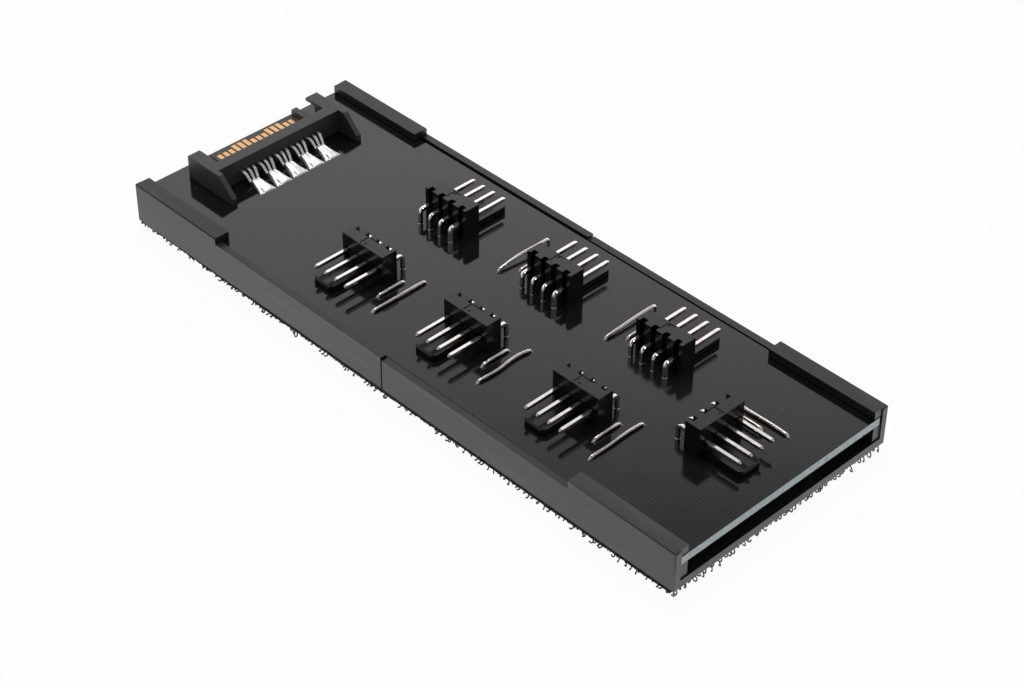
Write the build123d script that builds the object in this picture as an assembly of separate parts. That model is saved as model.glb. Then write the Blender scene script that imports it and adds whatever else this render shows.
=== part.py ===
"""A fan hub for a computer case: a tray in two halves, a circuit board, a power plug and seven fan headers.

Millimetres. +X runs from the power plug to the open end, +Z is up, and the origin is under the middle of the
tray at the tips of the hook tape that the hub stands on. The board carries everything, and its edges sit in
the tray's grooves.
"""

import os
from math import cos, radians, sin

from build123d import *

# Hook tape
tape_thickness = 2.0
tape_inset = 0.05

# Tray halves, the same moulding twice, turned end for end
tray_length = 131.0
tray_width = 49.5
floor_thickness = 1.5
wall_thickness = 1.35
ledge_width = 1.7
ledge_height = 3.15
lip_thickness = 1.45
lip_clearance = 0.1
block_length = 22.6
low_wall_rise = -0.1
plug_half_rise = 0.4
half_gap = 0.3
end_setback = 0.25
corner_radius = 0.3
rim_radius = 0.25

# Circuit board
board_thickness = 1.5
board_near_gap = 0.1
board_far_gap = 0.5
board_end_gap = 0.15
hole_clearance = 0.05
hole_sides = 12

# Fan headers, four square pins on the usual pitch
pin_count = 4
pin_pitch = 2.54
pin_size = 0.64
pin_fit = 0.02
pin_height = 2.7
pin_reach = 7.4
pin_tip_length = 0.45
pin_tip_size = 0.34
pin_bend_radius = 0.75
leg_distance = 2.4
header_depth = 3.25
header_height = 5.75
notch_width = 1.1
notch_depth = 1.0
face_recess_depth = 0.4
face_recess_margin = 0.7
face_recess_rise = 0.5
gate_left = -0.95
gate_right = 0.7
gate_front = 0.3
gate_back_margin = 0.8
gate_depth = 0.12
gate_mark_x = 0.1
gate_mark_front = 0.75
gate_mark_radius = 0.3
gate_mark_depth = 0.12
gate_mark_sides = 8
tab_left = -4.15
tab_right = 0.9
tab_reach = 7.9
tab_rise = 0.15
tab_thickness = 1.1
tab_corner = 0.75
tab_lead_in = 0.3

# Where the headers stand on the board
header_spacing = 25.4
header_middle_x = 5.65
row_inset = 13.55
end_header_inset = 13.4

# Wire links beside the headers, a short one and then, one pin pitch on, a long one
wire_diameter = 0.62
wire_lift = 0.15
wire_bend = 0.4
wire_sides = 8
long_link_span = 12.0
short_link_span = 6.0
row_links_aside = 7.0
end_links_aside = 6.2
short_link_ahead = -0.1
long_link_ahead = 0.3

# Solder joints under the board
joint_radius = 0.85
joint_tip_radius = 0.45
joint_height = 0.8
joint_sides = 8

# Power plug housing, measured from the front of its end walls and from the board's top
plug_inset = 3.1
plug_width = 30.0
plug_height = 4.55
end_wall_width = 2.6
bar_front = 5.05
bar_thickness = 2.35
tongue_width = 20.3
tongue_top = 2.3
tongue_thickness = 1.23
key_width = 1.2
key_rise = 1.1
arm_length = 2.55
arm_thickness = 0.7
gusset_width = 1.0
gusset_start = 1.4
gusset_end = 12.3
gusset_low = 1.1
peg_diameter = 1.2
peg_length = 1.3
peg_clearance = 0.1
plug_edge_radius = 0.2

# Power contacts, in groups of three whose tails gather on one solder wedge
contact_count = 15
contact_pitch = 1.27
contact_width = 0.84
contact_thickness = 0.16
tail_width = 0.52
tail_shoulder = 0.6
contact_shift = -0.15
contact_fit = 0.02
group_count = 3
long_contact_inset = 0.35
short_contact_inset = 1.05
long_contacts = (3, 4, 5, 9, 10, 11)
tail_straight = 0.3
tail_bend_radius = 1.4
tail_angle = 56.0
tail_bend_steps = 3
tail_end_height = 0.55
tail_gather = 0.42

# Solder wedges behind the power plug
wedge_gap = 0.05
wedge_length = 3.75
wedge_back_width = 2.3
wedge_back_height = 1.0
wedge_front_width = 3.5
wedge_front_height = 0.15

# Heights that follow from the stack of pieces
tray_bottom = tape_thickness
floor_top = tray_bottom + floor_thickness
board_bottom = floor_top + ledge_height
board_top = board_bottom + board_thickness
lip_bottom = board_top + lip_clearance
block_top = lip_bottom + lip_thickness
low_wall_top = board_top + low_wall_rise

# Widths and places that follow from them
tray_half_length = tray_length / 2
wall_inside = tray_width / 2 - wall_thickness
ledge_inside = wall_inside - ledge_width
board_length = tray_length - 2 * board_end_gap
board_width = 2 * wall_inside - board_near_gap - board_far_gap
board_middle_y = (board_near_gap - board_far_gap) / 2
row_half_span = tray_width / 2 - row_inset
header_width = pin_count * pin_pitch
leg_y = header_depth + leg_distance
bar_back = bar_front + bar_thickness
tongue_bottom = tongue_top - tongue_thickness
strip_middle = tongue_top - contact_thickness / 2
peg_y = plug_width / 2 - end_wall_width / 2


def block(x, y, z):
    """Box between a low and a high limit on each axis."""
    limits = (x, y, z)
    size = [high - low for low, high in limits]
    middle = [(low + high) / 2 for low, high in limits]
    return Pos(*middle) * Box(*size)


def upright(half_width, low, high):
    """Rectangle across the tray's section, from one height to another."""
    return Pos(0, (low + high) / 2) * Rectangle(2 * half_width, high - low)


def tray_half(wall_top):
    """One tray moulding, outer end at +X: U-section, ledges under the board, lips over its corners."""
    block_start = tray_half_length - block_length
    channel = upright(ledge_inside, floor_top, block_top)
    low_section = upright(tray_width / 2, tray_bottom, wall_top)
    low_section -= upright(wall_inside, board_bottom, wall_top)
    block_section = upright(tray_width / 2, tray_bottom, block_top)
    block_section -= upright(wall_inside, board_bottom, lip_bottom)
    low_run = extrude(Plane.YZ.offset(half_gap / 2) * (low_section - channel), block_start - half_gap / 2)
    block_run = extrude(Plane.YZ.offset(block_start) * (block_section - channel), block_length)
    end_step = block(
        (tray_half_length - end_setback, tray_half_length),
        (-wall_inside, wall_inside),
        (floor_top, block_top),
    )
    half = low_run + block_run - end_step
    corners = half.edges().filter_by(Axis.Z).group_by(Axis.X)[-1]
    half = fillet(corners.group_by(Axis.Y)[0] + corners.group_by(Axis.Y)[-1], corner_radius)
    rim = half.edges().filter_by(Axis.X).group_by(Axis.Z)[-1]
    return fillet(rim.group_by(Axis.Y)[0] + rim.group_by(Axis.Y)[-1], rim_radius)


def circuit_board(pin_spots, wire_spots, peg_spots):
    """Flat board drilled for the pins, wire links and plug pegs. Holes have flats, for a light mesh."""
    pin_hole = pin_size * 2**0.5 / 2 + hole_clearance
    wire_hole = wire_diameter / 2 + hole_clearance
    peg_hole = peg_diameter / 2 + peg_clearance
    outline = Pos(0, board_middle_y) * Rectangle(board_length, board_width)
    for spots, radius in ((pin_spots, pin_hole), (wire_spots, wire_hole), (peg_spots, peg_hole)):
        outline -= [Pos(x, y) * RegularPolygon(radius, hole_sides, major_radius=False) for x, y in spots]
    return extrude(Pos(0, 0, board_bottom) * outline, board_thickness)


def pin_places():
    """Places of the pins across a header."""
    return [(index - (pin_count - 1) / 2) * pin_pitch for index in range(pin_count)]


def header_body():
    """Header moulding, front at y = 0 with the pins towards -Y: body, notched back and polarising tab."""
    half = header_width / 2
    body = block((-half, half), (0, header_depth), (0, header_height))
    for x in pin_places():
        body -= block(
            (x - notch_width / 2, x + notch_width / 2),
            (header_depth - notch_depth, header_depth),
            (0, header_height),
        )
    body -= block(
        (-half + face_recess_margin, half - face_recess_margin),
        (0, face_recess_depth),
        (tab_rise + tab_thickness, pin_height + face_recess_rise),
    )
    gate_floor = header_height - gate_depth
    body -= block(
        (gate_left, gate_right),
        (gate_front, header_depth - gate_back_margin),
        (gate_floor, header_height),
    )
    gate_spot = Pos(gate_mark_x, gate_mark_front, gate_floor)
    gate_mark = RegularPolygon(gate_mark_radius, gate_mark_sides)
    body -= extrude(gate_spot * gate_mark, -gate_mark_depth)
    tab_outline = Polygon(
        (tab_left, face_recess_depth),
        (tab_left, tab_corner - tab_reach),
        (tab_left + tab_corner, -tab_reach),
        (tab_right - tab_corner, -tab_reach),
        (tab_right, tab_corner - tab_reach),
        (tab_right, face_recess_depth),
        align=None,
    )
    tab = extrude(Pos(0, 0, tab_rise) * tab_outline, tab_thickness)
    lead_edge = tab.edges().group_by(Axis.Z)[-1].sort_by(Axis.Y)[0]
    body += chamfer(lead_edge, tab_lead_in)
    pin_hole = pin_size + 2 * pin_fit
    for x in pin_places():
        body -= Pos(x, header_depth / 2, pin_height) * Box(pin_hole, header_depth, pin_hole)
    return body


def header_pin(x):
    """Square pin with a tapered tip in front, bent down behind the body and ending flush under the board."""
    tip_start = pin_tip_length - pin_reach
    route = FilletPolyline(
        (tip_start, pin_height),
        (leg_y, pin_height),
        (leg_y, -board_thickness),
        radius=pin_bend_radius,
    )
    shank = extrude(Plane.YZ.offset(x - pin_size / 2) * trace(route, pin_size), pin_size)
    low = (pin_size - pin_tip_size) / 2
    high = (pin_size + pin_tip_size) / 2
    centred = (Align.CENTER, Align.MIN, Align.CENTER)
    tip = Wedge(pin_size, pin_tip_length, pin_size, low, low, high, high, align=centred)
    return shank + Pos(x, tip_start, pin_height) * Rot(0, 0, 180) * tip


def wire_link(x, span, ahead):
    """Tinned wire laid on the board, with both ends bent down through it."""
    back = span / 2 - ahead
    front = -span / 2 - ahead
    middle = wire_diameter / 2 + wire_lift
    route = Polyline(
        (x, back, -board_thickness),
        (x, back, middle - wire_bend),
        (x, back - wire_bend, middle),
        (x, front + wire_bend, middle),
        (x, front, middle - wire_bend),
        (x, front, -board_thickness),
    )
    start = Plane((x, back, -board_thickness), z_dir=(0, 0, 1))
    section = start * RegularPolygon(wire_diameter / 2, wire_sides)
    return sweep(section, path=route, transition=Transition.RIGHT)


def solder_joint():
    """Small cone of solder that hangs from the underside of the board, with flat sides for a light mesh."""
    outline = Polygon(
        (-joint_radius, 0),
        (-joint_tip_radius, -joint_height),
        (joint_tip_radius, -joint_height),
        (joint_radius, 0),
        align=None,
    )
    slab = extrude(Plane.XZ * outline, joint_radius * 2, both=True)
    joint = slab
    for turn in range(1, joint_sides // 2):
        joint &= Rot(0, 0, turn * 360 / joint_sides) * slab
    return Pos(0, 0, -board_thickness) * joint


def link_ends(x, span, ahead):
    """The two holes of a wire link."""
    return [(x, span / 2 - ahead), (x, -span / 2 - ahead)]


def contact_places():
    """Place of each power contact across the plug."""
    first = contact_shift - (contact_count - 1) / 2 * contact_pitch
    return [first + index * contact_pitch for index in range(contact_count)]


def contact_front(index):
    """Where a contact starts on the tongue: the supply's long ones lead the rest."""
    return long_contact_inset if index in long_contacts else short_contact_inset


def tail_route():
    """Points of a contact's tail behind the bar, as distance back, height and slope."""
    start = bar_back + tail_straight
    points = [(start, strip_middle, 0.0)]
    for step in range(1, tail_bend_steps + 1):
        slope = radians(tail_angle) * step / tail_bend_steps
        back = start + tail_bend_radius * sin(slope)
        height = strip_middle - tail_bend_radius * (1 - cos(slope))
        points.append((back, height, slope))
    back, height, slope = points[-1]
    drop = height - tail_end_height
    points.append((back + drop * cos(slope) / sin(slope), tail_end_height, slope))
    return points


def power_contact(index):
    """Flat contact strip: along the tongue, into the bar, then a narrow tail down to its solder wedge."""
    y = contact_places()[index]
    place_in_group = index % group_count - (group_count - 1) / 2
    tail = tail_route()
    tail_start = tail[0][0]
    tail_end = tail[-1][0]
    shoulder = bar_front + tail_shoulder
    strip = block(
        (contact_front(index), shoulder),
        (y - contact_width / 2, y + contact_width / 2),
        (tongue_top - contact_thickness, tongue_top),
    )
    sections = []
    for back, height, slope in [(shoulder, strip_middle, 0.0), *tail]:
        along = max(0.0, (back - tail_start) / (tail_end - tail_start))
        middle = (back, y - along * place_in_group * tail_gather, height)
        station = Plane(middle, x_dir=(0, 1, 0), z_dir=(cos(slope), 0, -sin(slope)))
        sections.append(station * Rectangle(tail_width, contact_thickness))
    return strip + loft(sections, ruled=True)


def plug_housing():
    """Plug moulding: the bar with gussets behind it, end walls, one cut to an arm, and the keyed tongue."""
    half = plug_width / 2
    inside = half - end_wall_width
    side_outline = Polygon(
        (bar_front, 0),
        (gusset_end, 0),
        (gusset_end, gusset_low),
        (bar_back + gusset_start, plug_height),
        (bar_front, plug_height),
        align=None,
    )
    side = Plane.XZ * side_outline
    housing = block((bar_front, bar_back), (-half, half), (0, plug_height))
    for edge in (half, gusset_width - half):
        housing += extrude(Pos(0, edge, 0) * side, gusset_width)
    for low, high in ((-half, -inside), (inside, half)):
        housing += block((0, bar_front), (low, high), (0, plug_height))
    housing -= block((0, arm_length), (inside, half), (0, plug_height - arm_thickness))
    tongue_half = tongue_width / 2
    housing += block((0, bar_front), (-tongue_half, tongue_half), (tongue_bottom, tongue_top))
    key_top = tongue_top + key_rise
    housing += block((0, bar_front), (tongue_half - key_width, tongue_half), (tongue_top, key_top))
    slot_half = contact_width / 2 + contact_fit
    for index, y in enumerate(contact_places()):
        across = (y - slot_half, y + slot_half)
        floor = tongue_top - contact_thickness - contact_fit
        housing -= block((contact_front(index) - contact_fit, bar_front), across, (floor, tongue_top))
        housing -= block((bar_front, bar_back), across, (floor, tongue_top + contact_fit))
    for y in (-peg_y, peg_y):
        peg = Pos(bar_front, y, -peg_length / 2) * Cylinder(peg_diameter / 2, peg_length)
        housing += peg
    front_rims = housing.edges().filter_by(Axis.Y).group_by(Axis.Z)[-1].group_by(Axis.X)[0]
    return fillet(front_rims, plug_edge_radius)


def solder_wedge(y):
    """Wedge of solder from a group of tails down to the board."""
    back = tail_route()[-1][0] + wedge_gap
    low = (wedge_back_width - wedge_front_width) / 2
    high = (wedge_back_width + wedge_front_width) / 2
    wedge = Wedge(
        wedge_back_width,
        wedge_length,
        wedge_back_height,
        low,
        0,
        high,
        wedge_front_height,
        align=(Align.CENTER, Align.MIN, Align.MIN),
    )
    return Pos(back, y, 0) * Rot(0, 0, -90) * wedge


def hook_tape():
    """Strip of hook tape under the tray, as deep as its hooks."""
    outline = Rectangle(tray_length - 2 * tape_inset, tray_width - 2 * tape_inset)
    return extrude(outline, tape_thickness)


def links_beside(aside):
    """A header's two wire links: name, place sideways, span and how far they lie ahead of its front."""
    return [
        ("short_link", aside, short_link_span, short_link_ahead),
        ("long_link", aside + pin_pitch, long_link_span, long_link_ahead),
    ]


def header_spots():
    """Place of each header on the board, with its wire links."""
    columns = [header_middle_x + header_spacing * step for step in (-1, 0, 1)]
    row_links = links_beside(row_links_aside)
    spots = []
    for x in columns:
        spots.append((Pos(x, -row_half_span, board_top), row_links))
    for x in columns:
        links = row_links if x > columns[0] else []
        spots.append((Pos(x, row_half_span, board_top) * Rot(0, 0, 180), links))
    end_front = tray_half_length - end_header_inset
    end_links = links_beside(end_links_aside)
    spots.append((Pos(end_front, 0, board_top) * Rot(0, 0, 90), end_links))
    return spots


def placed_points(spot, points):
    """Points of a piece's own plane, moved to where the piece stands on the board."""
    moved = [(spot * Pos(x, y, 0)).position for x, y in points]
    return [(point.X, point.Y) for point in moved]


def group(solids):
    """Several solids of one kind kept together."""
    return Compound(children=list(solids))


parts = {
    "hook_tape": hook_tape(),
    "tray_open_half": tray_half(low_wall_top),
    "tray_plug_half": Rot(0, 0, 180) * tray_half(low_wall_top + plug_half_rise),
}

pin_holes = []
wire_holes = []
for number, (spot, links) in enumerate(header_spots(), start=1):
    name = f"fan_header_{number}"
    leg_points = [(x, leg_y) for x in pin_places()]
    joint_points = list(leg_points)
    pin_holes += placed_points(spot, leg_points)
    parts[f"{name}_body"] = spot * header_body()
    parts[f"{name}_pins"] = group(spot * header_pin(x) for x in pin_places())
    for link_name, x, span, ahead in links:
        parts[f"{name}_{link_name}"] = spot * wire_link(x, span, ahead)
        ends = link_ends(x, span, ahead)
        wire_holes += placed_points(spot, ends)
        joint_points += ends
    parts[f"{name}_solder"] = group(spot * Pos(x, y, 0) * solder_joint() for x, y in joint_points)

plug_spot = Pos(plug_inset - tray_half_length, 0, board_top)
group_middles = contact_places()[group_count // 2 :: group_count]
parts["power_plug_housing"] = plug_spot * plug_housing()
parts["power_plug_contacts"] = group(plug_spot * power_contact(index) for index in range(contact_count))
parts["power_plug_solder"] = group(plug_spot * solder_wedge(y) for y in group_middles)
peg_holes = placed_points(plug_spot, [(bar_front, -peg_y), (bar_front, peg_y)])
parts["circuit_board"] = circuit_board(pin_holes, wire_holes, peg_holes)

os.makedirs("parts", exist_ok=True)
for name, shape in parts.items():
    export_step(shape, f"parts/{name}.step")
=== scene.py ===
import math
import random

import bmesh
import bpy
import numpy as np
from mathutils import Matrix, Vector, noise


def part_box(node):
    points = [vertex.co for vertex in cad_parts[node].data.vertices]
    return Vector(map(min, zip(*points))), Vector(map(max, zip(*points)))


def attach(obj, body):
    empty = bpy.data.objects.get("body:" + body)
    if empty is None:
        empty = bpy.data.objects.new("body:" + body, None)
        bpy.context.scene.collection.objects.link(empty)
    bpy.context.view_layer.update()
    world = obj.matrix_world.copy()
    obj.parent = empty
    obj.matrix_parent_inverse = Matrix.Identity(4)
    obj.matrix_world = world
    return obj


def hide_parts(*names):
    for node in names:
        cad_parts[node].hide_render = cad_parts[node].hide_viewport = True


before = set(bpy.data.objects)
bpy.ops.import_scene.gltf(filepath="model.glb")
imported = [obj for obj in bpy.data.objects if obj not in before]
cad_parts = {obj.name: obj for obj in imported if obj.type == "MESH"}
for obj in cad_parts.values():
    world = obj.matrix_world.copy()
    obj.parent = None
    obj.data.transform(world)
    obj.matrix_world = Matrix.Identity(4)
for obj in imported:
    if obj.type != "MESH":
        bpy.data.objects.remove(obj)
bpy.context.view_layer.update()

# Hook tape: a woven nylon ribbon stuck to the tray's floor, with rows of nylon loops cut open into hooks.
# The hooks hang down to whatever the hub is pressed on, and the cut edges of the ribbon fray a little.
mm = 0.001


class Value:
    """An output of a shader node that takes part in sums: each operator adds a Math node."""

    def __init__(self, finish, socket):
        self.finish = finish
        self.socket = socket

    def sum(self, operation, first, second):
        return self.finish.node("ShaderNodeMath", {"operation": operation}, {0: first, 1: second})

    def __add__(self, other):
        return self.sum("ADD", self, other)

    def __radd__(self, other):
        return self.sum("ADD", other, self)

    def __sub__(self, other):
        return self.sum("SUBTRACT", self, other)

    def __rsub__(self, other):
        return self.sum("SUBTRACT", other, self)

    def __mul__(self, other):
        return self.sum("MULTIPLY", self, other)

    def __rmul__(self, other):
        return self.sum("MULTIPLY", other, self)

    def __gt__(self, other):
        return self.sum("GREATER_THAN", self, other)

    def __lt__(self, other):
        return self.sum("LESS_THAN", self, other)


class Nodes:
    """A tree of shader nodes that is filled one node at a time."""

    def __init__(self, tree):
        self.tree = tree

    def node(self, kind, settings=None, sockets=None, output=0):
        made = self.tree.nodes.new(kind)
        for key, value in (settings or {}).items():
            if key == "stops":
                stops = made.color_ramp.elements
                for place, (at, colour) in enumerate(value):
                    stop = stops[place] if place < 2 else stops.new(at)
                    stop.position = at
                    stop.color = colour
            else:
                setattr(made, key, value)
        for key, value in (sockets or {}).items():
            self.feed(made.inputs[key], value)
        return Value(self, made.outputs[output])

    def feed(self, socket, value):
        if isinstance(value, Value):
            self.tree.links.new(value.socket, socket)
        else:
            socket.default_value = value

    def axis(self, vector, letter):
        return self.node("ShaderNodeSeparateXYZ", None, {0: vector}, letter)

    def ramp(self, value, low, high, bottom=0.0, top=1.0):
        sockets = {"Value": value, "From Min": low, "From Max": high, "To Min": bottom, "To Max": top}
        return self.node("ShaderNodeMapRange", {"clamp": True}, sockets)


class Finish(Nodes):
    """A procedural material on the Principled shader, with places in millimetres of the hub's own frame."""

    def __init__(self, name, **plain):
        self.material = bpy.data.materials.new(name)
        self.material.use_nodes = True
        super().__init__(self.material.node_tree)
        self.shader = self.tree.nodes["Principled BSDF"]
        self.shade(**plain)

    def places(self, stretch=(1, 1, 1)):
        spot = self.node("ShaderNodeTexCoord", output="Object")
        scale = [share / mm for share in stretch]
        return self.node("ShaderNodeVectorMath", {"operation": "MULTIPLY"}, {0: spot, 1: scale})

    def cloud(self, size, stretch=(1, 1, 1), detail=3.0):
        sockets = {"Vector": self.places(stretch), "Scale": 1 / size, "Detail": detail}
        return self.node("ShaderNodeTexNoise", None, sockets)

    def blend(self, share, first, second):
        return self.node("ShaderNodeMix", {"data_type": "RGBA"}, {0: share, 6: first, 7: second}, 2)

    def shade(self, **sockets):
        for name, value in sockets.items():
            title = name.replace("_", " ").title().replace("Ior", "IOR")
            self.feed(self.shader.inputs[title], value)

    def bump(self, height, depth, strength=1.0):
        sockets = {"Height": height, "Distance": depth * mm, "Strength": strength}
        self.shade(normal=self.node("ShaderNodeBump", None, sockets))


def grey(level, warmth=0.0):
    return (level * (1 + warmth), level, level * (1 - warmth), 1.0)


def add_piece(name, points, faces, finish, smooth=True, stands_for=()):
    mesh = bpy.data.meshes.new(name)
    mesh.from_pydata([Vector(point) * mm for point in points], [], faces)
    mesh.update()
    mesh.polygons.foreach_set("use_smooth", [smooth] * len(mesh.polygons))
    mesh.materials.append(finish.material)
    piece = bpy.data.objects.new(name, mesh)
    bpy.context.scene.collection.objects.link(piece)
    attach(piece, "root")
    if stands_for:
        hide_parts(*stands_for)


def in_mm(node):
    low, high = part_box(node)
    return low / mm, high / mm


warp_wave = 12.0
weft_wave = 9.0
tape_nylon = Finish("tape_nylon", specular_ior_level=0.08)
ribbon_x = tape_nylon.axis(tape_nylon.places(), "X")
ribbon_y = tape_nylon.axis(tape_nylon.places(), "Y")
warp = tape_nylon.node("ShaderNodeMath", {"operation": "SINE"}, {0: ribbon_x * warp_wave})
weft = tape_nylon.node("ShaderNodeMath", {"operation": "SINE"}, {0: ribbon_y * weft_wave})
nylon_fuzz = tape_nylon.cloud(0.8)
tape_nylon.shade(
    base_color=tape_nylon.blend(nylon_fuzz, grey(0.003), grey(0.009, 0.1)),
    roughness=tape_nylon.ramp(nylon_fuzz, 0.3, 0.7, 0.45, 0.75),
)
tape_nylon.bump(warp * weft, 0.05)

# Hooks near the open end are blended towards a pale warm grey: painted light, standing in for the lit end of
# the tape.
end_light_start = 63.5
end_light_end = 65.0
hook_nylon = Finish("hook_nylon", specular_ior_level=0.5)
hook_tone = hook_nylon.blend(hook_nylon.cloud(6.0), grey(0.010, 0.15), grey(0.036, 0.25))
painted_end_light = hook_nylon.ramp(hook_nylon.axis(hook_nylon.places(), "X"), end_light_start, end_light_end)
hook_nylon.shade(
    base_color=hook_nylon.blend(painted_end_light * 0.8, hook_tone, grey(0.16, 0.25)),
    roughness=hook_nylon.ramp(hook_nylon.cloud(1.5), 0.3, 0.7, 0.3, 0.5),
)

tape_low, tape_high = in_mm("hook_tape")
ribbon_thickness = 0.9
ribbon_bottom = tape_high.z - ribbon_thickness
end_setback = 0.75
ribbon_end = tape_high.x - end_setback
skew = 0.4
skew_start = -60.0
skew_run = 32.0
chance = random.Random(41)


def straight_share(x):
    """How far along its run from askew to straight the ribbon's near edge has come, from nought to one."""
    return min(1.0, max(0.0, (x - skew_start) / skew_run))


def near_edge(x):
    return tape_low.y + skew * (1 - straight_share(x))


# The ribbon stops short of the open end, and its outline wanders a little where the weave was cut.
edge_step = 0.8
fray = 0.12
sag = 0.08
half_length = 65
half_width = 24
across = round((tape_high.y - tape_low.y) / edge_step)
along = round((ribbon_end - tape_low.x) / edge_step)
outline = []
for step in range(along):
    x = tape_low.x + (ribbon_end - tape_low.x) * step / along
    outline.append((x, near_edge(x)))
for step in range(across):
    outline.append((ribbon_end, tape_low.y + (tape_high.y - tape_low.y) * step / across))
for step in range(along):
    outline.append((ribbon_end - (ribbon_end - tape_low.x) * step / along, tape_high.y))
for step in range(across):
    outline.append((tape_low.x, tape_high.y - (tape_high.y - tape_low.y) * step / across))
ribbon_points = []
for x, y in outline:
    inward = chance.uniform(0, fray)
    pulled = (x * (1 - inward / half_length), y * (1 - inward / half_width))
    ribbon_points.append((*pulled, tape_high.z))
    ribbon_points.append((*pulled, ribbon_bottom + chance.uniform(0, sag)))
count = len(outline)
ribbon_faces = [tuple(range(0, 2 * count, 2)), tuple(range(2 * count - 1, 0, -2))]
for step in range(count):
    after = (step + 1) % count
    ribbon_faces.append((2 * step, 2 * step + 1, 2 * after + 1, 2 * after))
add_piece(
    "tape_ribbon", ribbon_points, ribbon_faces, tape_nylon,
    smooth=False, stands_for=["hook_tape"],
)

# Each hook is one side of a cut loop: a stem that curls round towards the near side, with a stub behind it.
filament = 0.13
filament_sides = 4
curl_steps = 7
root_sink = 0.15
hook_room = ribbon_bottom - filament


def ring_faces(rings, sides):
    """Four-sided faces between each ring of points and the next one along a bar."""
    faces = []
    for place in range(rings - 1):
        for turn in range(sides):
            after = (turn + 1) % sides
            low_ring = place * sides
            high_ring = low_ring + sides
            faces.append((low_ring + turn, low_ring + after, high_ring + after, high_ring + turn))
    return faces


def hook_path(depth, curl, sweep):
    """A hook's run, as places forward of its root and below the ribbon: a stem, then an arc."""
    stem = depth - curl
    path = [(0.0, -root_sink)]
    for step in range(curl_steps):
        angle = sweep * step / (curl_steps - 1)
        path.append((curl - curl * math.cos(angle), stem + curl * math.sin(angle)))
    return path


def filament_along(path, root, heading, drift):
    """A thin bar along a path that lies in the upright plane of its heading."""
    forward = Vector((math.cos(heading), math.sin(heading), 0))
    aside = Vector((-forward.y, forward.x, 0))
    points = []
    for place, (out, down) in enumerate(path):
        before = path[max(0, place - 1)]
        after = path[min(len(path) - 1, place + 1)]
        run = Vector((after[0] - before[0], after[1] - before[1])).normalized()
        for turn in range(filament_sides):
            angle = (turn + 0.5) * math.tau / filament_sides
            thick = filament * math.cos(angle)
            spot = root + forward * (out - run.y * thick)
            spot += aside * filament * math.sin(angle) + drift * max(0.0, down)
            spot.z = max(0.0, spot.z - down - run.x * thick)
            points.append(spot)
    faces = ring_faces(len(path), filament_sides)
    faces.append(tuple(range(len(points) - filament_sides, len(points))))
    return points, faces


hook_spacing = (1.8, 2.1)
interior = 1.2
stray = 0.25
edge_spacing = 0.95
edge_room = 0.65
edge_room_shares = (0.35, 0.6, 1.0)
skewed_room = 0.25
least_share = 0.45
hook_roots = []
for x in np.arange(tape_low.x + interior, ribbon_end - interior, hook_spacing[0]):
    for y in np.arange(tape_low.y + interior, tape_high.y - interior, hook_spacing[1]):
        shift = Vector((chance.uniform(-stray, stray), chance.uniform(-stray, stray), 0))
        hook_roots.append((Vector((x, y, ribbon_bottom)) + shift, least_share * hook_room, hook_room, 0.0))
for x in np.arange(tape_low.x + 0.3, ribbon_end - 0.1, edge_spacing):
    for y in (near_edge(x) + chance.uniform(0.05, 0.3), tape_high.y - chance.uniform(0.1, 0.3)):
        room = edge_room * (skewed_room + (1 - skewed_room) * straight_share(x))
        room *= chance.choice(edge_room_shares)
        root = Vector((x + chance.uniform(-0.4, 0.4), y, ribbon_bottom))
        hook_roots.append((root, least_share * room, room, 0.0))

# Of the edge rows, the one at the open end hangs lowest and leans out, and the one at the plug end is short.
end_least_share = 0.65
plug_end_room = 0.45
open_end_room = 0.95
open_end_splay = 0.4
for y in np.arange(tape_low.y + 0.5, tape_high.y - 0.4, edge_spacing):
    inset = chance.uniform(0.1, 0.3)
    ends = (
        (tape_low.x + inset, 0.0, plug_end_room),
        (ribbon_end - inset, open_end_splay, open_end_room),
    )
    for x, splay, room in ends:
        root = Vector((x, y + chance.uniform(-0.3, 0.3), ribbon_bottom))
        hook_roots.append((root, end_least_share * room * hook_room, room * hook_room, splay))

margin = 0.1
hook_points = []
hook_faces = []
for root, least, most, splay in hook_roots:
    heading = chance.choice((-1, -1, 1)) * math.pi / 2 + chance.gauss(0, 0.4)
    depth = chance.uniform(least, most)
    curl = min(depth, chance.uniform(0.22, 0.38))
    back = root + Vector((math.cos(heading), math.sin(heading), 0)) * chance.uniform(-1.0, -0.7)
    back.x = min(ribbon_end - margin, max(tape_low.x + margin, back.x))
    back.y = min(tape_high.y - margin, max(near_edge(back.x) + margin, back.y))
    stub = [(0.0, -root_sink), (0.05, most * chance.uniform(0.2, 0.6))]
    drift = Vector((splay + chance.gauss(0, 0.2), chance.gauss(0, 0.1), 0))
    for path, start in ((hook_path(depth, curl, chance.uniform(2.3, 4.2)), root), (stub, back)):
        points, faces = filament_along(path, start, heading, drift)
        hook_faces += [tuple(len(hook_points) + corner for corner in face) for face in faces]
        hook_points += points
add_piece("tape_hooks", hook_points, hook_faces, hook_nylon)

# Tray halves: the same black moulding twice, turned end for end and butted at mid length.
# Each is injection moulded with a fine spark texture, and its lips and ledges hold the board's edges.
weld_reach = 0.000002
level_angle = math.radians(0.6)
sharp_angle = math.radians(32)


def rounded(node, width, flatten=True):
    """Softens a solid's sharp edges by a moulding radius, as a tool's polish leaves them."""
    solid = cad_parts[node]
    weld = solid.modifiers.new("joined", "WELD")
    weld.merge_threshold = weld_reach
    if flatten:
        flat = solid.modifiers.new("flat", "DECIMATE")
        flat.decimate_type = "DISSOLVE"
        flat.angle_limit = level_angle
    edge = solid.modifiers.new("rounded", "BEVEL")
    edge.width = width * mm
    edge.segments = 2
    edge.limit_method = "ANGLE"
    edge.angle_limit = sharp_angle
    edge.use_clamp_overlap = True
    edge.harden_normals = True


def dress(node, finish):
    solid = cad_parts[node]
    solid.data.materials.clear()
    solid.data.materials.append(finish.material)


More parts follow.
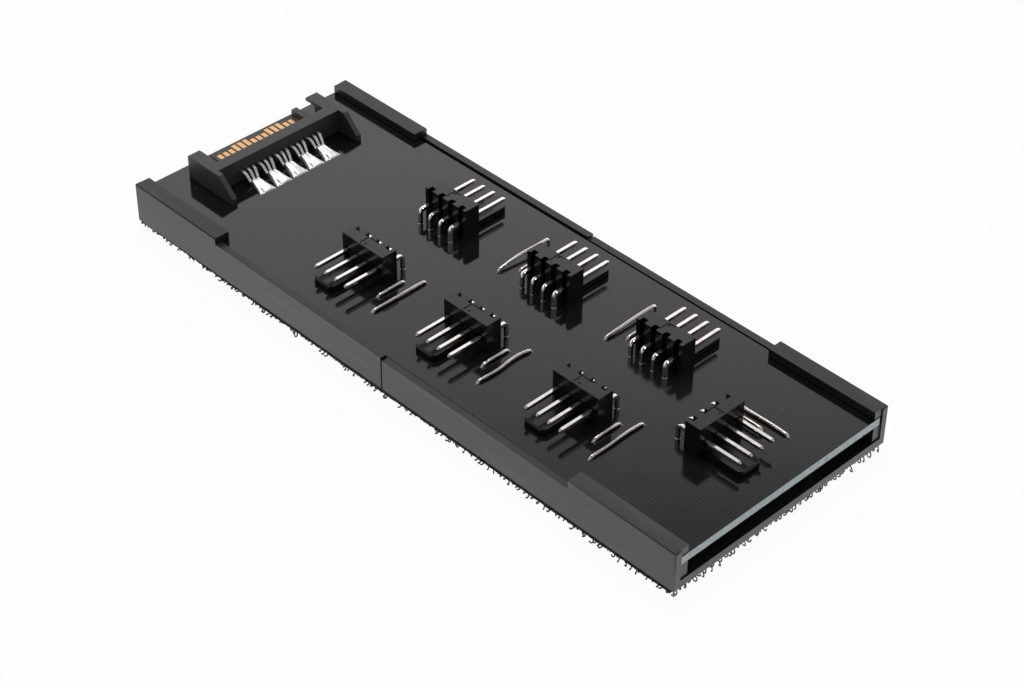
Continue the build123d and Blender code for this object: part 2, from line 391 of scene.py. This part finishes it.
tray_plastic = Finish("tray_plastic", specular_ior_level=0.42)
spark = tray_plastic.cloud(0.22, detail=2.0)
flow = tray_plastic.cloud(14.0, stretch=(0.35, 1, 1), detail=4.0)
rubbed = tray_plastic.ramp(tray_plastic.cloud(2.2, stretch=(0.12, 1, 1), detail=5.0), 0.56, 0.72)
tray_tone = tray_plastic.blend(flow, grey(0.013, 0.005), grey(0.018, 0.005))
tray_plastic.shade(
    base_color=tray_plastic.blend(rubbed * 0.5, tray_tone, grey(0.050, -0.01)),
    roughness=tray_plastic.ramp(flow + spark * 0.4, 0.4, 0.95, 0.32, 0.44) - rubbed * 0.05,
)
tray_plastic.bump(spark, 0.02, 0.5)
for tray in ("tray_plug_half", "tray_open_half"):
    rounded(tray, 0.05)
    dress(tray, tray_plastic)

# Circuit board: glass-fibre laminate under a gloss black solder mask, drilled for pins, links and pegs.
# The weave prints through the mask as fine lines, and the sawn edge shows the pale laminate.
board_low, board_high = in_mm("circuit_board")
edge_depth = 0.2
ply_wave = 31.0
weave_wave = 9.4
board_mask = Finish("board_mask", specular_ior_level=0.5)
mask_up = board_mask.axis(board_mask.node("ShaderNodeNewGeometry", output="Normal"), "Z")
mask_x = board_mask.axis(board_mask.places(), "X")
mask_y = board_mask.axis(board_mask.places(), "Y")
mask_z = board_mask.axis(board_mask.places(), "Z")
sawn = board_mask.node("ShaderNodeMath", {"operation": "ABSOLUTE"}, {0: mask_up}) < 0.5
from_middle = board_mask.node("ShaderNodeMath", {"operation": "ABSOLUTE"}, {0: mask_x})
at_end = from_middle > board_high.x - edge_depth
outer_edge = board_mask.node("ShaderNodeMath", {"operation": "MAXIMUM"}, {
    0: sawn * at_end,
    1: sawn * (mask_y < board_low.y + edge_depth) * 0.5,
})
ply = board_mask.node("ShaderNodeMath", {"operation": "SINE"}, {0: mask_z * ply_wave})
edge_fibre = board_mask.cloud(0.35, stretch=(0.3, 0.3, 1.0))
laminate = board_mask.blend(
    board_mask.ramp(edge_fibre + ply * 0.12, 0.3, 0.75),
    (0.32, 0.44, 0.42, 1.0),
    (0.64, 0.78, 0.75, 1.0),
)
smudge = board_mask.ramp(board_mask.cloud(17.0, detail=5.0), 0.42, 0.72)
mask_tone = board_mask.blend(smudge, grey(0.0075, -0.02), grey(0.012, -0.02))
speck = board_mask.ramp(board_mask.cloud(0.8, detail=0.0), 0.87, 0.91)
mask_tone = board_mask.blend(speck * 0.35, mask_tone, grey(0.30))
board_mask.shade(
    base_color=board_mask.blend(outer_edge, mask_tone, laminate),
    roughness=board_mask.ramp(smudge, 0.0, 1.0, 0.07, 0.14) + sawn * 0.4,
)
weave = board_mask.node("ShaderNodeMath", {"operation": "SINE"}, {0: mask_x * weave_wave})
weave_side = board_mask.ramp(mask_x - mask_y, 25.0, 75.0)
weave_patch = weave_side * board_mask.ramp(board_mask.cloud(2.5), 0.3, 0.7)
board_mask.bump(weave * weave_patch * 1.3 + board_mask.cloud(4.0, detail=2.0) * 2.0, 0.003, 0.5)
dress("circuit_board", board_mask)

# Fan header bodies: black glass-filled nylon pressed over the pins, with a polarising tab under them.
# The moulds are polished, so flat faces are glossy, and the gate leaves a mark in a recess on each top.
header_plastic = Finish("header_plastic", specular_ior_level=0.5)
header_grain = header_plastic.cloud(0.3, detail=3.0)
header_flow = header_plastic.cloud(4.0)
header_plastic.shade(
    base_color=header_plastic.blend(header_flow, grey(0.004), grey(0.008)),
    roughness=header_plastic.ramp(header_grain, 0.35, 0.7, 0.18, 0.30),
)
header_plastic.bump(header_grain, 0.012, 0.4)
headers = [f"fan_header_{number}" for number in range(1, 8)]
for header in headers:
    rounded(f"{header}_body", 0.05, flatten=False)
    dress(f"{header}_body", header_plastic)

# Fan header pins: square brass wire, bright tin plated, cut to length with tapered tips.
# Each is bent down behind its body and passes through the board to its solder joint.
tin_plate = Finish("tin_plate", metallic=1.0)
drawn = tin_plate.cloud(0.12, stretch=(1, 0.08, 1), detail=2.0)
tarnish = tin_plate.ramp(tin_plate.cloud(1.6, detail=4.0), 0.45, 0.75)
tin_plate.shade(
    base_color=tin_plate.blend(tarnish, (0.92, 0.90, 0.85, 1.0), (0.76, 0.70, 0.60, 1.0)),
    roughness=tin_plate.ramp(drawn + tarnish * 0.3, 0.3, 1.0, 0.09, 0.18),
)
tin_plate.bump(drawn, 0.004, 0.2)
for header in headers:
    rounded(f"{header}_pins", 0.05)
    dress(f"{header}_pins", tin_plate)

# Wire links: tinned copper wire laid on the board beside each header, with both ends bent down through it.
# They are formed by hand, so each one bows and wanders a little between its holes.
wire_sides = 14
bend_radius = 0.62
leg_steps = 4
bend_steps = 6
flat_steps = 16
clearance = 0.06


def tube(path, radius):
    """A round bar along a path: rings of points carried from step to step without twisting."""
    path = [Vector(point) for point in path]
    points = []
    side = None
    for place, spot in enumerate(path):
        run = (path[min(place + 1, len(path) - 1)] - path[max(place - 1, 0)]).normalized()
        if side is None:
            side = run.orthogonal().normalized()
        side = (side - run * side.dot(run)).normalized()
        other = run.cross(side)
        for turn in range(wire_sides):
            angle = math.tau * turn / wire_sides
            points.append(spot + radius * (math.cos(angle) * side + math.sin(angle) * other))
    faces = ring_faces(len(path), wire_sides)
    faces.append(tuple(reversed(range(wire_sides))))
    faces.append(tuple(range(len(points) - wire_sides, len(points))))
    return points, faces


link_tin = Finish("link_tin", metallic=1.0)
link_tarnish = link_tin.ramp(link_tin.cloud(1.1, detail=4.0), 0.42, 0.75)
link_tin.shade(
    base_color=link_tin.blend(link_tarnish, (0.88, 0.85, 0.79, 1.0), (0.68, 0.62, 0.52, 1.0)),
    roughness=link_tin.ramp(link_tarnish, 0.0, 1.0, 0.20, 0.34),
)
link_tin.bump(link_tin.cloud(0.5), 0.012, 0.4)
link_waves = {
    "fan_header_2_long_link": 0.30,
    "fan_header_3_long_link": 0.10,
    "fan_header_5_long_link": -0.14,
}
link_bows = {
    "fan_header_5_long_link": 0.32,
    "fan_header_7_long_link": 0.05,
    "fan_header_7_short_link": 0.05,
}
link_lifts = {
    "fan_header_5_long_link": (0.10, 0.60),
    "fan_header_6_long_link": (0.05, 0.40),
    "fan_header_7_short_link": (0.65, 0.75),
}


def bent_end(end, length, foot, ridge):
    """One end of a link, from its tip under the board up and round to its flat run."""
    points = []
    for step in range(leg_steps + 1):
        points.append((end * length / 2, 0.0, foot + (ridge - bend_radius - foot) * step / leg_steps))
    for step in range(1, bend_steps):
        angle = math.pi / 2 * step / bend_steps
        points.append((
            end * (length / 2 - bend_radius * (1 - math.cos(angle))),
            0.0,
            ridge - bend_radius * (1 - math.sin(angle)),
        ))
    return points


links = [f"{header}_{span}_link" for header in headers for span in ("long", "short")]
for link in [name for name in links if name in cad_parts]:
    low, high = in_mm(link)
    runs_along_y = high.y - low.y > high.x - low.x
    wire_radius = min(high.x - low.x, high.y - low.y) / 2
    length = (high.y - low.y if runs_along_y else high.x - low.x) - 2 * wire_radius
    middle = (low + high) / 2
    bow = link_bows.get(link, chance.uniform(0.05, 0.16))
    wave = link_waves.get(link, chance.uniform(-0.06, 0.06))
    ridges = [board_high.z + wire_radius + clearance + lift for lift in link_lifts.get(link, (0.0, 0.0))]
    path = bent_end(-1, length, low.z, ridges[0])
    flat_length = length - 2 * bend_radius
    for step in range(flat_steps + 1):
        share = step / flat_steps
        sway = wave * math.sin(math.tau * share) * (0.4 + 0.6 * share)
        ridge = ridges[0] + (ridges[1] - ridges[0]) * share + bow * math.sin(math.pi * share)
        path.append((-flat_length / 2 + flat_length * share, sway, ridge))
    path += reversed(bent_end(1, length, low.z, ridges[1]))
    if runs_along_y:
        path = [(middle.x + sway, middle.y + place, z) for place, sway, z in path]
    else:
        path = [(middle.x + place, middle.y + sway, z) for place, sway, z in path]
    points, faces = tube(path, wire_radius - 0.01)
    add_piece(link.replace("_link", "_wire"), points, faces, link_tin, stands_for=[link])

# Solder joints: small fillets of solder round each pin and wire end, under the board.
# They wet the metal in a hollow curve, end in a rounded tip, and fill the holes nearly to the board's top.


def loose_boxes(node):
    """The box of each separate solid in a node, lowest and highest corner, in millimetres."""
    shape = bmesh.new()
    shape.from_mesh(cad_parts[node].data)
    bmesh.ops.remove_doubles(shape, verts=shape.verts, dist=weld_reach)
    waiting = set(shape.verts)
    boxes = []
    while waiting:
        found = [waiting.pop()]
        for vert in found:
            for edge in vert.link_edges:
                other = edge.other_vert(vert)
                if other in waiting:
                    waiting.remove(other)
                    found.append(other)
        corners = np.array([vert.co for vert in found]) / mm
        boxes.append((corners.min(0), corners.max(0)))
    shape.free()
    return sorted(boxes, key=lambda box: (round(box[0][1], 2), round(box[0][0], 2)))


solder_metal = Finish("solder_metal", metallic=1.0)
solder_skin = solder_metal.cloud(0.7, detail=4.0)
solder_metal.shade(
    base_color=solder_metal.blend(solder_skin, (0.80, 0.79, 0.77, 1.0), (0.93, 0.92, 0.90, 1.0)),
    roughness=solder_metal.ramp(solder_skin, 0.3, 0.7, 0.24, 0.42),
)
solder_metal.bump(solder_skin, 0.03, 0.5)
fillet_profile = [
    (1.0, 0.0), (0.86, 0.14), (0.70, 0.32), (0.58, 0.55), (0.52, 0.80), (0.40, 0.94), (0.18, 1.0),
]
fillet_sides = 16
fillet_spread = 0.95
hole_fill = 0.48
fill_drop = 0.1
for header in headers:
    points = []
    faces = []
    for low, high in loose_boxes(f"{header}_solder"):
        centre = (low + high) / 2
        radius = (high[0] - low[0]) / 2
        height = high[2] - low[2]
        start = len(points)
        for reach, drop in fillet_profile:
            for turn in range(fillet_sides):
                angle = math.tau * turn / fillet_sides
                wobble = 1 + 0.05 * math.sin(2 * angle + centre[0] + centre[1])
                points.append((
                    centre[0] + radius * reach * wobble * fillet_spread * math.cos(angle),
                    centre[1] + radius * reach * wobble * fillet_spread * math.sin(angle),
                    high[2] - height * drop,
                ))
        for place in range(len(fillet_profile) - 1):
            for turn in range(fillet_sides):
                after = (turn + 1) % fillet_sides
                upper = start + place * fillet_sides
                lower = upper + fillet_sides
                faces.append((upper + after, upper + turn, lower + turn, lower + after))
        faces.append(tuple(start + turn for turn in range(fillet_sides)))
        for turn in range(fillet_sides):
            angle = math.tau * turn / fillet_sides
            spot = Vector(centre) + hole_fill * Vector((math.cos(angle), math.sin(angle), 0))
            points.append((spot.x, spot.y, board_high.z - fill_drop))
        faces.append(tuple(len(points) - fillet_sides + turn for turn in range(fillet_sides)))
        last = start + (len(fillet_profile) - 1) * fillet_sides
        faces.append(tuple(last + turn for turn in reversed(range(fillet_sides))))
    add_piece(f"{header}_fillets", points, faces, solder_metal, stands_for=[f"{header}_solder"])

# Power plug housing: one black moulding with end walls, a bar, and the tongue that carries the contacts.
# Its gussets run back to the board, and two pegs under it drop into the board's holes.
plug_plastic = Finish("plug_plastic", specular_ior_level=0.5)
plug_grain = plug_plastic.cloud(0.35, detail=3.0)
plug_flow = plug_plastic.cloud(5.0, detail=4.0)
plug_plastic.shade(
    base_color=plug_plastic.blend(plug_flow, grey(0.042, 0.02), grey(0.056, 0.02)),
    roughness=plug_plastic.ramp(plug_grain + plug_flow * 0.3, 0.4, 0.95, 0.46, 0.60),
)
plug_plastic.bump(plug_grain, 0.015, 0.45)
rounded("power_plug_housing", 0.07)
dress("power_plug_housing", plug_plastic)

# Power contacts: flat copper-alloy strips, gold plated where they mate and tinned at the tails.
# They lie in the tongue's grooves, pass through the bar, and bend down behind it in groups of three.
contact_low, _ = in_mm("power_plug_contacts")
gold_run = 5.2
tin_from = 6.0
contact_plating = Finish("contact_plating", metallic=1.0)
plating_x = contact_plating.axis(contact_plating.places(), "X")
tinned = contact_plating.ramp(plating_x, contact_low.x + gold_run, contact_low.x + tin_from)
plating_wear = contact_plating.cloud(0.8, detail=4.0)
gold = contact_plating.blend(plating_wear, (0.62, 0.36, 0.13, 1.0), (0.80, 0.52, 0.24, 1.0))
tail_tin = contact_plating.blend(plating_wear, (0.82, 0.80, 0.76, 1.0), (0.92, 0.90, 0.87, 1.0))
contact_plating.shade(
    base_color=contact_plating.blend(tinned, gold, tail_tin),
    roughness=contact_plating.ramp(plating_wear, 0.3, 0.7, 0.20, 0.34),
)
dress("power_plug_contacts", contact_plating)

# Solder wedges: each group of three tails is joined to the board by one hand-made wedge of solder.
# The solder runs forward to a thin straight edge, and a blow-hole shows near one front corner.
wedge_along = 22
wedge_across = 36
heel_width = 0.62
slope = 0.85
heel_height = 0.96
toe_height = 0.13
toe_start = 0.94
pit_place = (0.80, -0.45)
pit_reach = (0.14, 0.08)
pit_depth = 0.30
least_height = 0.02


def wedge_half(half_front, share):
    """Half a wedge's width, a share of the way from its heel at the tails to its front edge."""
    return half_front * (heel_width + (1 - heel_width) * share)


points = []
faces = []
for number, (low, high) in enumerate(loose_boxes("power_plug_solder")):
    start = len(points)
    centre_y = (low[1] + high[1]) / 2
    half_front = (high[1] - low[1]) / 2
    length = high[0] - low[0]
    height = high[2] - low[2]
    for step in range(wedge_along + 1):
        share = step / wedge_along
        half = wedge_half(half_front, share)
        ridge = height * (1 - share) ** slope * heel_height + toe_height
        end_drop = 1 - max(0.0, (share - toe_start) / (1 - toe_start)) ** 2
        for place in range(wedge_across + 1):
            side = 2 * place / wedge_across - 1
            crown = (1 - abs(side) ** 5) ** 0.5
            x = low[0] + length * share
            y = centre_y + half * side
            lump = noise.noise((x * 0.5, y * 0.5, number * 7.0)) * 0.08
            fins = 0.04 * math.cos(side * math.pi * 3) * (1 - share) ** 2
            pit_x = (share - pit_place[0]) / pit_reach[0]
            pit_y = (side - pit_place[1]) / pit_reach[1]
            pit = pit_depth * math.exp(-(pit_x**2 + pit_y**2))
            z = min(height, max(least_height, (ridge + lump + fins - pit) * crown * end_drop))
            points.append((x, y, low[2] + z))
    top = len(points)
    for step in range(wedge_along + 1):
        share = step / wedge_along
        half = wedge_half(half_front, share)
        for place in range(wedge_across + 1):
            side = 2 * place / wedge_across - 1
            points.append((low[0] + length * share, centre_y + half * side, low[2]))
    stride = wedge_across + 1
    for step in range(wedge_along):
        for place in range(wedge_across):
            corner = step * stride + place
            quad = (corner, corner + stride, corner + stride + 1, corner + 1)
            faces.append(tuple(start + index for index in quad))
            faces.append(tuple(top + index for index in reversed(quad)))
    for step in range(wedge_along):
        for place, flip in ((0, False), (wedge_across, True)):
            corner = step * stride + place
            wall = (start + corner, top + corner, top + corner + stride, start + corner + stride)
            faces.append(tuple(reversed(wall)) if flip else wall)
    for place in range(wedge_across):
        for step, flip in ((0, True), (wedge_along, False)):
            corner = step * stride + place
            wall = (start + corner, top + corner, top + corner + 1, start + corner + 1)
            faces.append(tuple(reversed(wall)) if flip else wall)
wedge_metal = Finish("wedge_metal", metallic=1.0)
wedge_skin = wedge_metal.cloud(1.4, detail=2.0)
wedge_metal.shade(
    base_color=wedge_metal.blend(wedge_skin, (0.86, 0.85, 0.83, 1.0), (0.95, 0.94, 0.92, 1.0)),
    roughness=wedge_metal.ramp(wedge_skin, 0.3, 0.7, 0.30, 0.42),
)
wedge_metal.bump(wedge_skin, 0.02, 0.3)
add_piece("power_plug_wedges", points, faces, wedge_metal, stands_for=["power_plug_solder"])

# Studio: a white sweep under and behind the hub, with a broad soft light from behind on the plug's side.
# White cards all round give the black plastic its grey sheen, as in a light tent.
scene = bpy.context.scene
scene.view_settings.view_transform = "Standard"

floor_mesh = bpy.data.meshes.new("studio_floor")
floor_reach = 3.0
floor_mesh.from_pydata(
    [(-floor_reach, -floor_reach, 0), (floor_reach, -floor_reach, 0), (floor_reach, floor_reach, 0),
     (-floor_reach, floor_reach, 0)],
    [],
    [(0, 1, 2, 3)],
)
floor = bpy.data.objects.new("studio_floor", floor_mesh)
scene.collection.objects.link(floor)
paper = Finish("studio_paper", base_color=grey(0.86), roughness=0.9, specular_ior_level=0.0)
pure_white = (1.0, 1.0, 1.0, 1.0)
white = paper.node("ShaderNodeEmission", None, {"Color": pure_white, "Strength": 1.0})
over_white = paper.node("ShaderNodeEmission", None, {"Color": (1.0, 0.965, 1.0, 1.0), "Strength": 1.62})
seen_straight = paper.node("ShaderNodeLightPath", output="Is Camera Ray")
seen_in_gloss = paper.node("ShaderNodeLightPath", output="Is Glossy Ray")
matt = Value(paper, paper.shader.outputs[0])
seen = paper.node("ShaderNodeMixShader", None, {0: seen_straight * 0.96, 1: matt, 2: white})
seen = paper.node("ShaderNodeMixShader", None, {0: seen_in_gloss * 0.9, 1: seen, 2: over_white})
paper.feed(paper.tree.nodes["Material Output"].inputs["Surface"], seen)
floor_mesh.materials.append(paper.material)

# The tent is bright round the back, from the table up to a hand's breadth over the hub, and dim elsewhere.
world = bpy.data.worlds.new("studio")
scene.world = world
world.use_nodes = True
sky = Nodes(world.node_tree)
toward = sky.node("ShaderNodeTexCoord", output="Generated")
tent_back = (-0.715, 0.699, 0.0)
tent_stops = [
    (0.0, 1.2), (0.566, 1.42), (0.616, 1.16), (0.640, 1.0), (0.674, 0.55), (0.72, 0.30), (1.0, 0.30),
]
wall_tone = sky.node(
    "ShaderNodeValToRGB",
    {"stops": [(at, (level, level * 0.965, level * 1.01, 1.0)) for at, level in tent_stops]},
    {0: sky.axis(toward, "Z")},
)
behind = sky.node(
    "ShaderNodeVectorMath",
    {"operation": "DOT_PRODUCT"},
    {0: toward, 1: tent_back},
    "Value",
)
front_wall = sky.node("ShaderNodeBackground", None, {"Color": wall_tone, "Strength": 0.25})
back_wall = sky.node("ShaderNodeBackground", None, {"Color": wall_tone, "Strength": 1.0})
back_share = sky.ramp(behind, -0.15, 0.45)
tent = sky.node("ShaderNodeMixShader", None, {0: back_share, 1: front_wall, 2: back_wall})
backdrop = sky.node("ShaderNodeBackground", None, {"Color": pure_white, "Strength": 1.0})
seen_straight = sky.node("ShaderNodeLightPath", output="Is Camera Ray")
sky_seen = sky.node("ShaderNodeMixShader", None, {0: seen_straight, 1: tent, 2: backdrop})
sky.feed(sky.tree.nodes["World Output"].inputs["Surface"], sky_seen)


def soft_light(name, place, size, watts):
    lamp = bpy.data.lights.new(name, "AREA")
    lamp.shape = "RECTANGLE"
    lamp.size, lamp.size_y = size
    lamp.energy = watts
    light = bpy.data.objects.new(name, lamp)
    light.location = place
    light.rotation_euler = (-Vector(place)).to_track_quat("-Z", "Y").to_euler()
    scene.collection.objects.link(light)


soft_light("key_light", (-0.25, 0.22, 1.0), (0.30, 0.30), 3.2)

# Camera: the photograph's own place, from a fit to the tray's corners and the pin tips.
# The lens is that fit's focal length on a frame 36 mm wide, and the three axes are its turn.
camera_data = bpy.data.cameras.new("camera")
camera_data.sensor_fit = "HORIZONTAL"
camera_data.sensor_width = 36.0
camera_data.lens = 86.45
camera_data.clip_start = 0.01
camera = bpy.data.objects.new("camera", camera_data)
right = Vector((0.69551, 0.71849, 0.00635))
down = Vector((0.45404, -0.43263, -0.77890))
ahead = Vector((-0.55688, 0.54462, -0.62712))
turn = Matrix((right, -down, -ahead)).transposed()
camera.matrix_world = Matrix.Translation((0.23641, -0.22613, 0.26167)) @ turn.to_4x4()
scene.collection.objects.link(camera)
scene.camera = camera
